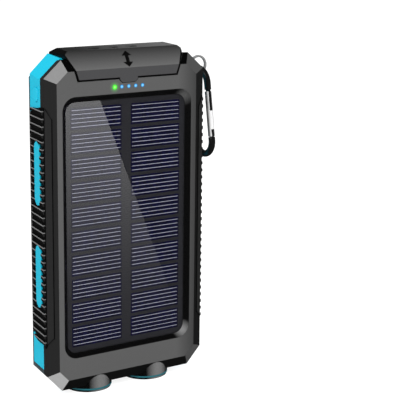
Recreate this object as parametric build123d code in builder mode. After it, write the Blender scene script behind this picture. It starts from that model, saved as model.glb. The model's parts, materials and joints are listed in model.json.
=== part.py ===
"""Solar power bank: bevelled front cover round a solar panel, bright middle frame, ribbed side grips,
hinged port cover, two lamps in the lower end, side key, and a small carabiner on a split ring.

Frame in millimetres: X is the width, the front faces -Y, +Z is up. The origin is midway between the
two lamps, on the plane of the lamp bezels that the unit stands on.
"""

from build123d import *

import os

# Body outline and depths -----------------------------------------------------------------------------
HALF_WIDTH = 37.5
BODY_LOW, BODY_HIGH = 3.0, 138.0
TOP_CUT = (7.7, 6.8)        # corner cut of the outline at the top: across, down
LOW_CUT = (6.7, 7.1)        # and at the bottom
FRONT, BACK = -9.0, 9.0
BEVEL_Y, REAR_BEVEL_Y = -7.0, 7.7
BEVEL_IN = (4.7, 4.5)       # the flat front face stands this far inside the outline: across, up
FACE_TOP_CUT = (4.9, 4.4)
FACE_LOW_CUT = (4.1, 4.4)
LIP_BACK = -3.6             # front cover meets the middle frame
FRAME_BACK = 4.8            # middle frame meets the rear cover
LAP_BACK = 7.4              # at its corners the middle frame laps over the rear cover, back to here
LAP_WALL = 3.6              # wall thickness of the lap, from the outline
FRAME_INSET = 0.3           # the middle frame stands this far inside the lip
FRAME_TOP_CUT, FRAME_LOW_CUT = (8.8, 8.2), (8.2, 8.6)
FRAME_LIFT, FRAME_RISE = 0.9, 0.18      # its upper corners stand above the lip, and more towards the back
TAPER = 0.1                 # the sides lean inwards by this much for each millimetre of depth
WALL = 3.5                  # outline to cavity
SKIN = 1.5                  # thickness of the front and rear faces
GAP = 0.25                  # visible gap round a moving part
FIT = 0.05                  # clearance of a running or screwed fit

# Solar panel -----------------------------------------------------------------------------------------
WINDOW = (30.4, 16.4, 123.5, 5.8)       # half width, low, high, corner radius
WINDOW_LAND = (30.0, 16.8, 123.1, 5.4)
PANE_EDGE = (28.2, 18.2, 121.2, 4.2)    # inner edge of the sloping bezel
PANEL = (29.2, 17.2, 122.2, 4.6)
PANE_THICK = 0.35
CELL_FRONT, CELL_THICK = -7.05, 0.2
BOARD_FRONT, BOARD_THICK = -6.85, 0.95
CELL_INNER, CELL_OUTER = 2.3, 25.8
CELL_TALL, CELL_PITCH, CELL_TOP = 8.6, 9.97, 118.9
CELL_ROWS = 10

# Grips -----------------------------------------------------------------------------------------------
GRIP_LOW, GRIP_HIGH = 22.0, 120.0
GRIP_SEAT_FRONT, GRIP_SEAT_BACK = 34.6, 34.4   # half width that the grips sit on, front and back
RIB_PITCH, RIB_COUNT = 3.03, 32
RIB_FRONT, RIB_CREST, RIB_LEAN = -6.4, 38.4, 0.16     # the ribs lean inwards more than the body
PILL_LONG, PILL_WIDE, PILL_Y = 25.8, 6.4, -0.3
PILL_HEIGHTS = (50.8, 93.0)

# Lights and screws -----------------------------------------------------------------------------------
LED_Z, LED_PITCH = 126.2, 3.27
PIPE_RADII = {"status_light_pipe": 0.95, "level_light_pipes": 0.7}
SCREWS = [(-29.3, 129.6), (29.3, 129.6), (-31.6, 70.0), (31.6, 70.0), (-30.6, 13.0), (30.6, 13.0)]
BOSS_RADIUS, SCREW_RADIUS, HEAD_RADIUS = 2.3, 1.1, 2.1

# Lamps -----------------------------------------------------------------------------------------------
LAMP_X, LAMP_Y = 14.0, 1.0
POD_RADIUS, POD_TOP, POD_BACK = 9.9, 7.3, 8.9
BEZEL_TOP, COLLAR_TOP = 0.9, 1.6
LAMP_BORE, RIM_BORE, BASE_TOP = 7.2, 6.9, 9.6
BASE_HALF, BASE_LOW = 27.0, 1.6

# Port cover and sockets ------------------------------------------------------------------------------
HINGE_Y, HINGE_Z = 6.4, 138.3
BEAD_RADIUS, BEAD_HALF = 0.9, 23.7
LUG_X, LUG_WIDE, LUG_RADIUS = 23.2, 2.0, 1.5
DECK_TOP, DECK_THICK, DECK_HALF = 136.2, 2.0, 25.4
COVER_SWING = 27.5          # half width that the port cover turns through, with its gap
MOUTH_TOP = 136.0
USB_X, USB_Y = 14.5, -0.5
USB_WIDE, USB_DEEP, USB_LONG = 13.1, 5.7, 12.0
MICRO_WIDE, MICRO_DEEP, MICRO_LONG = 7.6, 2.9, 5.5
PCB_FRONT = USB_Y + USB_DEEP / 2
PCB_THICK = 1.2

# Side key --------------------------------------------------------------------------------------------
KEY_Y, KEY_Z, KEY_WIDE, KEY_TALL = 0.9, 124.2, 3.6, 5.8
KEY_FACE, KEY_FLANGE, KEY_END = -36.95, -32.95, -31.8

# Carabiner, split ring and the loop that holds them --------------------------------------------------
CLIP_X = 43.0
CLIP_TOP, CLIP_TOP_RADIUS = (3.9, 122.7), 6.65   # bends of the bar's middle line, as (y, z)
CLIP_LOW, CLIP_LOW_RADIUS = (-0.8, 99.2), 5.75
BAR_RADIUS = 1.45
GATE_TOP, GATE_BOTTOM = 120.4, 101.6
TONGUE_LOW, NOSE_HIGH = 112.8, 104.2
TONGUE_THICK, SLOT_WIDE, SHOULDER_GAP = 1.1, 1.4, 0.7
PIN_RADIUS = 0.4
RING_X, RING_Z, RING_RADIUS, RING_WIRE = 42.6, 130.85, 3.75, 0.42
LOOP_X, LOOP_Z, LOOP_WIRE, LOOP_INNER = 40.45, 131.35, 0.8, 33.4
LOOP_LEGS = (1.6, 6.2)

finished = []


def upright(y):
    """The plane that stands at depth y: sketch x is X, sketch y is Z, and it looks forwards."""
    return Plane.XZ.offset(-y)


def sideways(x):
    """The plane that stands at x: sketch x is Y, sketch y is Z, and it looks to +X."""
    return Plane.YZ.offset(x)


def taper(y):
    """How far the sides have leaned inwards at depth y."""
    return TAPER * (y - BEVEL_Y)


def octagon(inset=0.0, top=TOP_CUT, low=LOW_CUT, lift=0.0):
    """Corner points of the body outline, moved inwards by inset all round, with its top raised by lift."""
    pull = 0.42 * inset
    wide, floor, roof = HALF_WIDTH - inset, BODY_LOW + inset, BODY_HIGH - inset + lift
    top_x, top_z = top[0] - pull, top[1] - pull
    low_x, low_z = low[0] - pull, low[1] - pull
    right = [(wide - low_x, floor), (wide, floor + low_z), (wide, roof - top_z), (wide - top_x, roof)]
    return right + [(-x, z) for x, z in reversed(right)]


def frame_outline(y):
    """Corner points of the middle frame at depth y."""
    lift = FRAME_LIFT + FRAME_RISE * (y - LIP_BACK)
    return octagon(FRAME_INSET + taper(y), FRAME_TOP_CUT, FRAME_LOW_CUT, lift)


def face_outline():
    """Corner points of the flat front and rear faces."""
    wide, floor, roof = HALF_WIDTH - BEVEL_IN[0], BODY_LOW + BEVEL_IN[1], BODY_HIGH - BEVEL_IN[1]
    right = [
        (wide - FACE_LOW_CUT[0], floor), (wide, floor + FACE_LOW_CUT[1]),
        (wide, roof - FACE_TOP_CUT[1]), (wide - FACE_TOP_CUT[0], roof),
    ]
    return right + [(-x, z) for x, z in reversed(right)]


def tapered_slab(front, back, first, last, mode=Mode.ADD):
    """A slab between two depths, from the outline first to the outline last."""
    with BuildSketch(upright(front)) as near_end:
        Polygon(*first, align=None)
    with BuildSketch(upright(back)) as far_end:
        Polygon(*last, align=None)
    loft([near_end.sketch.face(), far_end.sketch.face()], ruled=True, mode=mode)


def slab(xs, ys, zs, mode=Mode.ADD):
    """A box given by its limits along X, Y and Z."""
    centre = tuple((pair[0] + pair[1]) / 2 for pair in (xs, ys, zs))
    with Locations(centre):
        Box(xs[1] - xs[0], ys[1] - ys[0], zs[1] - zs[0], mode=mode)


def rounded_panel(outline, front, thick, mode=Mode.ADD):
    """A rounded plate: outline is half width, low, high and corner radius; it runs back from front."""
    half, low, high, radius = outline
    with BuildSketch(upright(front)) as profile:
        with Locations((0, (low + high) / 2)):
            RectangleRounded(2 * half, high - low, radius)
    extrude(profile.sketch, amount=-thick, mode=mode)


def post(x, z, radius, front, back, mode=Mode.ADD):
    """A round post or hole that runs along Y."""
    with BuildSketch(upright(front)) as profile:
        with Locations((x, z)):
            Circle(radius)
    extrude(profile.sketch, amount=front - back, mode=mode)


def disc(x, y, radius, low, high, mode=Mode.ADD):
    """A round disc or hole that stands along Z."""
    with BuildSketch(Plane.XY.offset(low)) as profile:
        with Locations((x, y)):
            Circle(radius)
    extrude(profile.sketch, amount=high - low, mode=mode)


def ring_loop_holes():
    """Cuts the holes that hold the legs of the ring loop."""
    for y in LOOP_LEGS:
        with BuildSketch(sideways(LOOP_INNER)) as profile:
            with Locations((y, LOOP_Z)):
                Circle(LOOP_WIRE)
        extrude(profile.sketch, amount=LOOP_X - LOOP_INNER, mode=Mode.SUBTRACT)


def finish(builder, name):
    """Labels a finished piece and keeps it for export."""
    builder.part.label = name
    finished.append(builder.part)


# Room that several pieces leave for their neighbours --------------------------------------------------
GRIP_ENDS = (26.1, 115.6)      # the inner edge of the grips runs between these heights
GRIP_END_OUTLINE = [
    (30.0, GRIP_ENDS[0]), (34.9, GRIP_ENDS[0]), (37.2, 23.6), (37.5, GRIP_LOW), (41.0, GRIP_LOW),
    (41.0, GRIP_HIGH), (37.5, GRIP_HIGH), (36.6, 118.9), (36.2, 118.0), (34.9, GRIP_ENDS[1]),
    (30.0, GRIP_ENDS[1]),
]

with BuildPart() as grip_room:
    with BuildSketch():
        Polygon(
            (GRIP_SEAT_FRONT, FRONT - 2), (GRIP_SEAT_FRONT, BEVEL_Y - 1), (GRIP_SEAT_BACK, LAP_BACK),
            (41.0, LAP_BACK), (41.0, FRONT - 2), align=None,
        )
    extrude(amount=GRIP_HIGH + 1)
    with BuildSketch(upright(BACK + 1)):
        Polygon(*GRIP_END_OUTLINE, align=None)
    extrude(amount=BACK - FRONT + 4, mode=Mode.INTERSECT)
    mirror(about=Plane.YZ)


def cover_outline(grow=0.0):
    """Front view of the port cover, as points (x, z), made larger by grow."""
    half = [(23.3, 129.5 - grow), (24.8, 133.7), (27.2, 138.4), (27.2, 139.9 + grow), (24.5, 141.9 + grow)]
    right = [(x + grow, z) for x, z in half]
    return right + [(-x, z) for x, z in reversed(right)]


COVER_SECTION = [
    (-9.2, 129.5), (-9.2, 133.7), (-5.1, 141.0), (4.6, 141.5), (7.0, 139.8), (7.3, 138.3), (5.5, 137.0),
    (-5.2, 137.9), (-7.6, 134.3), (-7.6, 129.5),
]
COVER_HOLLOW = [
    (-7.8, 128.0), (-7.6, 134.3), (-4.4, 139.5), (4.3, 139.9), (4.3, 130.0),
]
COVER_ROOM = [
    (-12.0, 129.25), (-7.35, 129.25), (-7.35, 134.4), (-5.05, 137.55), (4.8, 136.7), (12.0, 136.2),
    (12.0, 145.0), (-12.0, 145.0),
]
TAB = [(4.4, 129.8), (4.0, 128.8), (3.0, 127.9), (-3.0, 127.9), (-4.0, 128.8), (-4.4, 129.8)]

with BuildPart() as cover_room:
    with BuildSketch(sideways(-30)):
        Polygon(*COVER_ROOM, align=None)
    extrude(amount=60)
    with BuildSketch(upright(12)):
        Polygon(*cover_outline(GAP), align=None)
    extrude(amount=24, mode=Mode.INTERSECT)
    with BuildSketch(upright(FRONT - 1)):
        Polygon(*TAB, align=None)
        offset(amount=GAP, kind=Kind.INTERSECTION)
    extrude(amount=-2.05)

with BuildPart() as lap_room:
    tapered_slab(FRAME_BACK, LAP_BACK, octagon(-3.0), octagon(-3.0))
    with BuildSketch(upright(LAP_BACK)):
        Polygon(*octagon(LAP_WALL), align=None)
    extrude(amount=LAP_BACK - FRAME_BACK, mode=Mode.SUBTRACT)
    slab((-41, 41), (FRAME_BACK, LAP_BACK), (GRIP_ENDS[0], GRIP_ENDS[1]), mode=Mode.SUBTRACT)
    slab((-DECK_HALF, DECK_HALF), (FRAME_BACK, LAP_BACK), (GRIP_ENDS[1], BODY_HIGH + 2), mode=Mode.SUBTRACT)
    slab((-BASE_HALF, BASE_HALF), (FRAME_BACK, LAP_BACK), (0, GRIP_ENDS[0]), mode=Mode.SUBTRACT)

with BuildPart() as lamp_room:
    for side in (-1, 1):
        disc(side * LAMP_X, LAMP_Y, POD_RADIUS, -1, POD_TOP)
    slab((-BASE_HALF, BASE_HALF), (LIP_BACK, FRAME_BACK), (-1, BASE_TOP))

# Front cover: bevelled shell with the panel window, light holes and screw bosses -----------------------
with BuildPart() as front_cover:
    tapered_slab(FRONT, BEVEL_Y, face_outline(), octagon())
    tapered_slab(BEVEL_Y, LIP_BACK, octagon(), octagon(taper(LIP_BACK)))
    with BuildSketch(upright(LIP_BACK)):
        Polygon(*octagon(WALL), align=None)
    extrude(amount=LIP_BACK - FRONT - SKIN, mode=Mode.SUBTRACT)
    slab((-27.5, 27.5), (FRONT + SKIN, -5.8), (128.6, BODY_HIGH - WALL))
    rounded_panel(WINDOW, FRONT - 1, 3, mode=Mode.SUBTRACT)
    for x, z in SCREWS:
        post(x, z, BOSS_RADIUS, FRONT + SKIN, FRAME_BACK)
        post(x, z, SCREW_RADIUS + FIT, -5.0, BACK, mode=Mode.SUBTRACT)
    for place in range(-2, 3):
        radius = PIPE_RADII["status_light_pipe" if place == -2 else "level_light_pipes"]
        post(place * LED_PITCH, LED_Z, radius, FRONT - 1, -5, mode=Mode.SUBTRACT)
    add(grip_room.part, mode=Mode.SUBTRACT)
    add(cover_room.part, mode=Mode.SUBTRACT)
    add(lamp_room.part, mode=Mode.SUBTRACT)
finish(front_cover, "front_cover")

# Middle frame: bright ring that shows at the corners and through the grips -----------------------------
with BuildPart() as grip_pads:
    for height in PILL_HEIGHTS:
        with BuildSketch(sideways(33)):
            with Locations((PILL_Y, height)):
                SlotOverall(PILL_LONG, PILL_WIDE, rotation=90)
        extrude(amount=8)
    with BuildSketch():
        Polygon((34.9, LIP_BACK), (37.8, LIP_BACK), (36.4, FRAME_BACK), (34.0, FRAME_BACK), align=None)
    extrude(amount=BODY_HIGH, mode=Mode.INTERSECT)
    mirror(about=Plane.YZ)

with BuildPart() as frame_lap:
    tapered_slab(FRAME_BACK, LAP_BACK, frame_outline(FRAME_BACK), frame_outline(LAP_BACK))
    add(lap_room.part, mode=Mode.INTERSECT)

with BuildPart() as middle_frame:
    tapered_slab(LIP_BACK, FRAME_BACK, frame_outline(LIP_BACK), frame_outline(FRAME_BACK))
    with BuildSketch(upright(FRAME_BACK)):
        Polygon(*octagon(WALL + 0.9), align=None)
    extrude(amount=FRAME_BACK - LIP_BACK, mode=Mode.SUBTRACT)
    add(frame_lap.part)
    add(cover_room.part, mode=Mode.SUBTRACT)
    slab((-COVER_SWING, COVER_SWING), (2.4, LAP_BACK), (DECK_TOP, BODY_HIGH + 4), mode=Mode.SUBTRACT)
    add(grip_room.part, mode=Mode.SUBTRACT)
    add(grip_pads.part)
    # Deck of the sockets, under the port cover
    slab((-DECK_HALF - 1, DECK_HALF + 1), (LIP_BACK, FRAME_BACK), (DECK_TOP - DECK_THICK, DECK_TOP))
    slab((-DECK_HALF, DECK_HALF), (LIP_BACK, FRAME_BACK), (DECK_TOP, BODY_HIGH), mode=Mode.SUBTRACT)
    for x in (-USB_X, USB_X):
        slab(
            (x - USB_WIDE / 2, x + USB_WIDE / 2), (USB_Y - USB_DEEP / 2, USB_Y + USB_DEEP / 2),
            (120, BODY_HIGH), mode=Mode.SUBTRACT,
        )
    slab((-MICRO_WIDE / 2, MICRO_WIDE / 2), (PCB_FRONT - MICRO_DEEP, PCB_FRONT), (120, BODY_HIGH),
         mode=Mode.SUBTRACT)
    for x, z in SCREWS:
        post(x, z, BOSS_RADIUS, LIP_BACK, FRAME_BACK, mode=Mode.SUBTRACT)
    # Window of the side key
    with BuildSketch(sideways(-40)):
        with Locations((KEY_Y, KEY_Z)):
            SlotOverall(KEY_TALL + 2 * FIT, KEY_WIDE + 2 * FIT, rotation=90)
    extrude(amount=8, mode=Mode.SUBTRACT)
    ring_loop_holes()
    add(lamp_room.part, mode=Mode.SUBTRACT)
finish(middle_frame, "middle_frame")

# Rear cover: shell with the hinge lugs of the port cover -----------------------------------------------
with BuildPart() as rear_cover:
    tapered_slab(FRAME_BACK, REAR_BEVEL_Y, octagon(taper(FRAME_BACK)), octagon(taper(REAR_BEVEL_Y)))
    tapered_slab(REAR_BEVEL_Y, BACK, octagon(taper(REAR_BEVEL_Y)), face_outline())
    with BuildSketch(upright(FRAME_BACK)):
        Polygon(*octagon(WALL + 0.9), align=None)
    extrude(amount=-(BACK - SKIN - FRAME_BACK), mode=Mode.SUBTRACT)
    for side in (-1, 1):
        with BuildSketch(sideways(side * LUG_X - LUG_WIDE / 2)):
            with Locations((HINGE_Y, HINGE_Z)):
                Circle(LUG_RADIUS)
            with Locations((HINGE_Y, HINGE_Z - 2)):
                Rectangle(2 * LUG_RADIUS, 4)
        extrude(amount=LUG_WIDE)
    with BuildSketch(sideways(-BEAD_HALF - FIT)):
        with Locations((HINGE_Y, HINGE_Z)):
            Circle(BEAD_RADIUS + FIT)
    extrude(amount=2 * (BEAD_HALF + FIT), mode=Mode.SUBTRACT)
    for x, z in SCREWS:
        post(x, z, HEAD_RADIUS + 0.2, BACK - 2.2, BACK + 1, mode=Mode.SUBTRACT)
        post(x, z, SCREW_RADIUS + 0.2, FRAME_BACK, BACK, mode=Mode.SUBTRACT)
        post(x, z, BOSS_RADIUS + FIT, FRAME_BACK - 1, FRAME_BACK, mode=Mode.SUBTRACT)
    ring_loop_holes()
    # Shallow field that frames the rear face
    half, low, high, radius = 27.0, 20.0, 119.0, 5.0
    rounded_panel((half, low, high, radius), BACK - 0.4, 1, mode=Mode.SUBTRACT)
    rounded_panel((half - 1.2, low + 1.2, high - 1.2, radius - 1), BACK - 0.5, 0.5)
    add(lap_room.part, mode=Mode.SUBTRACT)
    add(grip_room.part, mode=Mode.SUBTRACT)
    add(lamp_room.part, mode=Mode.SUBTRACT)
finish(rear_cover, "rear_cover")

# Grips: soft side pieces with ribs and two windows each ------------------------------------------------
with BuildPart() as grip_right:
    with BuildSketch():
        Polygon(
            (GRIP_SEAT_FRONT, -8.41), (37.35, -7.25), (37.6, -6.2), (37.4, -4.4), (35.5, LAP_BACK),
            (34.0, LAP_BACK), (34.0, -8.41), align=None,
        )
    extrude(amount=GRIP_HIGH + 1)
    with BuildSketch(upright(RIB_FRONT)):
        for rib in range(RIB_COUNT):
            z = GRIP_LOW + 0.5 * (GRIP_HIGH - GRIP_LOW) + (rib - (RIB_COUNT - 1) / 2) * RIB_PITCH
            Polygon(
                (RIB_CREST - 1.4, z - 1.1), (RIB_CREST - 0.6, z - 1.0), (RIB_CREST, z - 0.5),
                (RIB_CREST, z + 0.5), (RIB_CREST - 0.6, z + 1.0), (RIB_CREST - 1.4, z + 1.1), align=None,
            )
    extrude(amount=LAP_BACK - RIB_FRONT, dir=(-RIB_LEAN, 1, 0))
    add(grip_room.part, mode=Mode.INTERSECT)
    for height in PILL_HEIGHTS:
        with BuildSketch(sideways(33)):
            with Locations((PILL_Y, height)):
                SlotOverall(PILL_LONG, PILL_WIDE, rotation=90)
        extrude(amount=8, mode=Mode.SUBTRACT)
finish(grip_right, "grip_right")

with BuildPart() as grip_left:
    mirror(grip_right.part, about=Plane.YZ)
finish(grip_left, "grip_left")

# Solar panel --------------------------------------------------------------------------------------------
with BuildPart() as panel_bezel:
    rounded_panel(WINDOW, FRONT + 0.05, SKIN - 0.05)
    with BuildSketch(upright(FRONT + 0.05)):
        with Locations((0, (WINDOW_LAND[1] + WINDOW_LAND[2]) / 2)):
            RectangleRounded(2 * WINDOW_LAND[0], WINDOW_LAND[2] - WINDOW_LAND[1], WINDOW_LAND[3])
    with BuildSketch(upright(FRONT + SKIN)):
        with Locations((0, (PANE_EDGE[1] + PANE_EDGE[2]) / 2)):
            RectangleRounded(2 * PANE_EDGE[0], PANE_EDGE[2] - PANE_EDGE[1], PANE_EDGE[3])
    loft(ruled=True, mode=Mode.SUBTRACT)
finish(panel_bezel, "panel_bezel")

with BuildPart() as panel_glass:
    rounded_panel(PANEL, FRONT + SKIN, PANE_THICK)
finish(panel_glass, "panel_glass")

with BuildPart() as solar_cells:
    middle = (CELL_INNER + CELL_OUTER) / 2
    for row in range(CELL_ROWS):
        z = CELL_TOP - CELL_TALL / 2 - row * CELL_PITCH
        for x in (-middle, middle):
            with Locations((x, CELL_FRONT + CELL_THICK / 2, z)):
                Box(CELL_OUTER - CELL_INNER, CELL_THICK, CELL_TALL)
finish(solar_cells, "solar_cells")

with BuildPart() as panel_board:
    rounded_panel(PANEL, BOARD_FRONT, BOARD_THICK)
finish(panel_board, "panel_board")

# Battery ------------------------------------------------------------------------------------------------
BATTERY = (-28.0, 28.0), (26.0, 112.0)
PAD_FRONT = BOARD_FRONT + BOARD_THICK
POUCH = 5.6

with BuildPart() as panel_foam:
    slab((-26, 26), (PAD_FRONT, PAD_FRONT + 0.6), (30, 108))
finish(panel_foam, "panel_foam")

with BuildPart() as battery_front:
    slab(BATTERY[0], (PAD_FRONT + 0.6, PAD_FRONT + 0.6 + POUCH), BATTERY[1])
    fillet(battery_front.edges().filter_by(Axis.Z), 1.6)
finish(battery_front, "battery_front")

with BuildPart() as battery_tape:
    slab((-22, 22), (PAD_FRONT + 0.6 + POUCH, PAD_FRONT + 0.8 + POUCH), (32, 106))
finish(battery_tape, "battery_tape")

with BuildPart() as battery_rear:
    slab(BATTERY[0], (PAD_FRONT + 0.8 + POUCH, PAD_FRONT + 0.8 + 2 * POUCH), BATTERY[1])
    fillet(battery_rear.edges().filter_by(Axis.Z), 1.6)
finish(battery_rear, "battery_rear")

with BuildPart() as rear_foam:
    slab((-24, 24), (PAD_FRONT + 0.8 + 2 * POUCH, 7.0), (30, 108))
finish(rear_foam, "rear_foam")

with BuildPart() as cell_board:
    slab((-20, 20), (-3.0, 3.2), (112.0, 112.8))
    slab((-16, -11), (-2.0, 0.4), (112.8, 113.7))
    slab((-8, -3), (-2.0, 0.4), (112.8, 113.7))
finish(cell_board, "cell_board")

# Electronics --------------------------------------------------------------------------------------------
PCB_BACK = PCB_FRONT + PCB_THICK
PCB_LOW = 115.5

with BuildPart() as main_board:
    slab((-31, 31), (PCB_FRONT, PCB_BACK), (PCB_LOW, 126.2))
    slab((-26, 26), (PCB_FRONT, PCB_BACK), (126.2, 133.4))
finish(main_board, "main_board")

with BuildPart() as board_chips:
    for x, z, wide, tall in [(-14, 121, 5, 5), (2, 123.5, 7, 5), (18, 121, 5, 4), (19.5, 128.5, 4, 4)]:
        slab((x - wide / 2, x + wide / 2), (PCB_BACK, PCB_BACK + 1.1), (z - tall / 2, z + tall / 2))
finish(board_chips, "board_chips")

with BuildPart() as power_inductor:
    slab((-6.5, -0.5), (PCB_BACK, PCB_BACK + 3.0), (127, 133))
    fillet(power_inductor.edges().filter_by(Axis.Y), 1.2)
finish(power_inductor, "power_inductor")

for side, word in ((-1, "left"), (1, "right")):
    x = side * USB_X
    with BuildPart() as usb_shell:
        slab((x - USB_WIDE / 2, x + USB_WIDE / 2), (USB_Y - USB_DEEP / 2, PCB_FRONT),
             (MOUTH_TOP - USB_LONG, MOUTH_TOP))
        slab((x - 6.25, x + 6.25), (USB_Y - 2.55, USB_Y + 2.55), (MOUTH_TOP - USB_LONG + 0.4, MOUTH_TOP),
             mode=Mode.SUBTRACT)
    finish(usb_shell, "usb_shell_" + word)

    with BuildPart() as usb_insert:
        slab((x - 6.25, x + 6.25), (USB_Y - 2.55, USB_Y + 2.55),
             (MOUTH_TOP - USB_LONG + 0.4, MOUTH_TOP - USB_LONG + 2.6))
        slab((x - 5.6, x + 5.6), (USB_Y + 0.4, USB_Y + 2.2), (MOUTH_TOP - USB_LONG + 2.6, MOUTH_TOP - 1.4))
    finish(usb_insert, "usb_insert_" + word)

with BuildPart() as micro_usb_port:
    slab((-MICRO_WIDE / 2, MICRO_WIDE / 2), (PCB_FRONT - MICRO_DEEP, PCB_FRONT),
         (MOUTH_TOP - MICRO_LONG, MOUTH_TOP))
    slab((-3.45, 3.45), (PCB_FRONT - 2.45, PCB_FRONT - 0.45), (MOUTH_TOP - MICRO_LONG + 0.5, MOUTH_TOP),
         mode=Mode.SUBTRACT)
    slab((-1.9, 1.9), (PCB_FRONT - 1.2, PCB_FRONT - 0.6), (MOUTH_TOP - MICRO_LONG, MOUTH_TOP - 0.8))
finish(micro_usb_port, "micro_usb_port")

with BuildPart() as led_board:
    slab((-10, 10), (-5.9, -5.1), (124.2, 128.2))
finish(led_board, "led_board")

with BuildPart() as indicator_leds:
    for place in range(-2, 3):
        x = place * LED_PITCH
        slab((x - 0.8, x + 0.8), (-6.5, -5.9), (LED_Z - 0.5, LED_Z + 0.5))
finish(indicator_leds, "indicator_leds")

for word, places in (("status_light_pipe", [-2]), ("level_light_pipes", [-1, 0, 1, 2])):
    with BuildPart() as light_pipes:
        for place in places:
            post(place * LED_PITCH, LED_Z, PIPE_RADII[word], FRONT - 0.05, -6.5)
    finish(light_pipes, word)

with BuildPart() as led_ribbon:
    slab((-3, 3), (-5.1, PCB_FRONT), (125.9, 126.2))
finish(led_ribbon, "led_ribbon")


def wire(radius, *points):
    """A thin insulated wire along straight runs with rounded turns."""
    with BuildLine() as path:
        if len(points) > 2:
            FilletPolyline(*points, radius=2.5)
        else:
            Line(*points)
    route = path.wires()[0]
    with BuildSketch(Plane(origin=route @ 0, z_dir=route % 0)) as section:
        Circle(radius)
    sweep(section.sketch, path=route)


with BuildPart() as panel_leads:
    for x in (-1.2, 1.2):
        wire(0.42, (x, PAD_FRONT, 119.0), (x, PCB_FRONT, 119.0))
finish(panel_leads, "panel_leads")

with BuildPart() as battery_leads:
    for x in (8.0, 10.4):
        wire(0.42, (x, PCB_FRONT + 0.42, 112.8), (x, PCB_FRONT + 0.42, PCB_LOW))
finish(battery_leads, "battery_leads")

with BuildPart() as lamp_leads:
    lead_y = (PCB_FRONT + PCB_BACK) / 2
    for start_x, turn_z, side_x in ((18.0, 18.5, 28.34), (19.6, 17.2, 28.98)):
        wire(
            0.28, (start_x, lead_y, BASE_TOP + 1.6), (start_x, lead_y, turn_z),
            (side_x, lead_y, turn_z + 4.5), (side_x, lead_y, PCB_LOW),
        )
finish(lamp_leads, "lamp_leads")

# Switch and side key -------------------------------------------------------------------------------------
with BuildPart() as switch_body:
    slab((-31, -27.4), (PCB_FRONT - 2.9, PCB_FRONT), (KEY_Z - 2, KEY_Z + 2))
    with BuildSketch(sideways(-31)):
        with Locations((KEY_Y, KEY_Z)):
            Circle(0.9 + FIT)
    extrude(amount=1.6, mode=Mode.SUBTRACT)
finish(switch_body, "switch_body")

with BuildPart() as switch_plunger:
    with BuildSketch(sideways(KEY_END)):
        with Locations((KEY_Y, KEY_Z)):
            Circle(0.9)
    extrude(amount=1.6)
finish(switch_plunger, "switch_plunger")

with BuildPart() as side_key:
    with BuildSketch(sideways(KEY_FACE)):
        with Locations((KEY_Y, KEY_Z)):
            SlotOverall(KEY_TALL - 2 * FIT, KEY_WIDE - 2 * FIT, rotation=90)
    extrude(amount=KEY_FLANGE - KEY_FACE)
    fillet(side_key.faces().sort_by(Axis.X)[0].edges(), 0.3)
    slab((KEY_FLANGE, KEY_FLANGE + 0.6), (KEY_Y - 2.5, KEY_Y + 2.5), (KEY_Z - 3.6, KEY_Z + 3.6))
    slab((KEY_FLANGE + 0.6, KEY_END), (KEY_Y - 1, KEY_Y + 1), (KEY_Z - 1, KEY_Z + 1))
finish(side_key, "side_key")

# Lamps ------------------------------------------------------------------------------------------------------
with BuildPart() as lamp_base:
    for side in (-1, 1):
        disc(side * LAMP_X, LAMP_Y, POD_RADIUS, COLLAR_TOP, POD_TOP)
    slab((-BASE_HALF, BASE_HALF), (LIP_BACK, FRAME_BACK), (BASE_LOW, BASE_TOP))
    slab((-40, 40), (POD_BACK, 20), (-1, 20), mode=Mode.SUBTRACT)
    for side in (-1, 1):
        disc(side * LAMP_X, LAMP_Y, LAMP_BORE, COLLAR_TOP, POD_TOP - 0.6, mode=Mode.SUBTRACT)
        slab((side * LAMP_X - 2.2, side * LAMP_X + 2.2), (LAMP_Y - 2.2, LAMP_Y + 2.2), (2, 20),
             mode=Mode.SUBTRACT)
finish(lamp_base, "lamp_base")

with BuildPart() as lamp_board:
    slab((-20, 20), (-3.4, 4.0), (BASE_TOP, BASE_TOP + 1.6))
finish(lamp_board, "lamp_board")

with BuildPart() as lamp_leds:
    for side in (-1, 1):
        x = side * LAMP_X
        slab((x - 1.7, x + 1.7), (LAMP_Y - 1.7, LAMP_Y + 1.7), (BASE_TOP - 1.0, BASE_TOP))
finish(lamp_leds, "lamp_leds")

for side, word in ((-1, "left"), (1, "right")):
    x = side * LAMP_X
    with BuildPart() as lamp_reflector:
        disc(x, LAMP_Y, LAMP_BORE - FIT, 2.4, POD_TOP - 0.6)
        with BuildSketch(Plane.XY.offset(2.4)):
            with Locations((x, LAMP_Y)):
                Circle(LAMP_BORE - 0.5)
        with BuildSketch(Plane.XY.offset(POD_TOP - 0.6)):
            with Locations((x, LAMP_Y)):
                Circle(2.1)
        loft(mode=Mode.SUBTRACT)
    finish(lamp_reflector, "lamp_reflector_" + word)

    with BuildPart() as lamp_lens:
        disc(x, LAMP_Y, LAMP_BORE - FIT, COLLAR_TOP, 2.4)
    finish(lamp_lens, "lamp_lens_" + word)

    with BuildPart() as lamp_collar:
        disc(x, LAMP_Y, POD_RADIUS + 0.1, BEZEL_TOP, COLLAR_TOP)
        slab((x - 12, x + 12), (POD_BACK, 20), (0, 3), mode=Mode.SUBTRACT)
        disc(x, LAMP_Y, RIM_BORE, 0, 3, mode=Mode.SUBTRACT)
    finish(lamp_collar, "lamp_collar_" + word)

    with BuildPart() as lamp_bezel:
        disc(x, LAMP_Y, POD_RADIUS - 0.3, 0, BEZEL_TOP)
        slab((x - 12, x + 12), (POD_BACK - 0.1, 20), (0, 3), mode=Mode.SUBTRACT)
        disc(x, LAMP_Y, RIM_BORE, 0, 3, mode=Mode.SUBTRACT)
    finish(lamp_bezel, "lamp_bezel_" + word)

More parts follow.
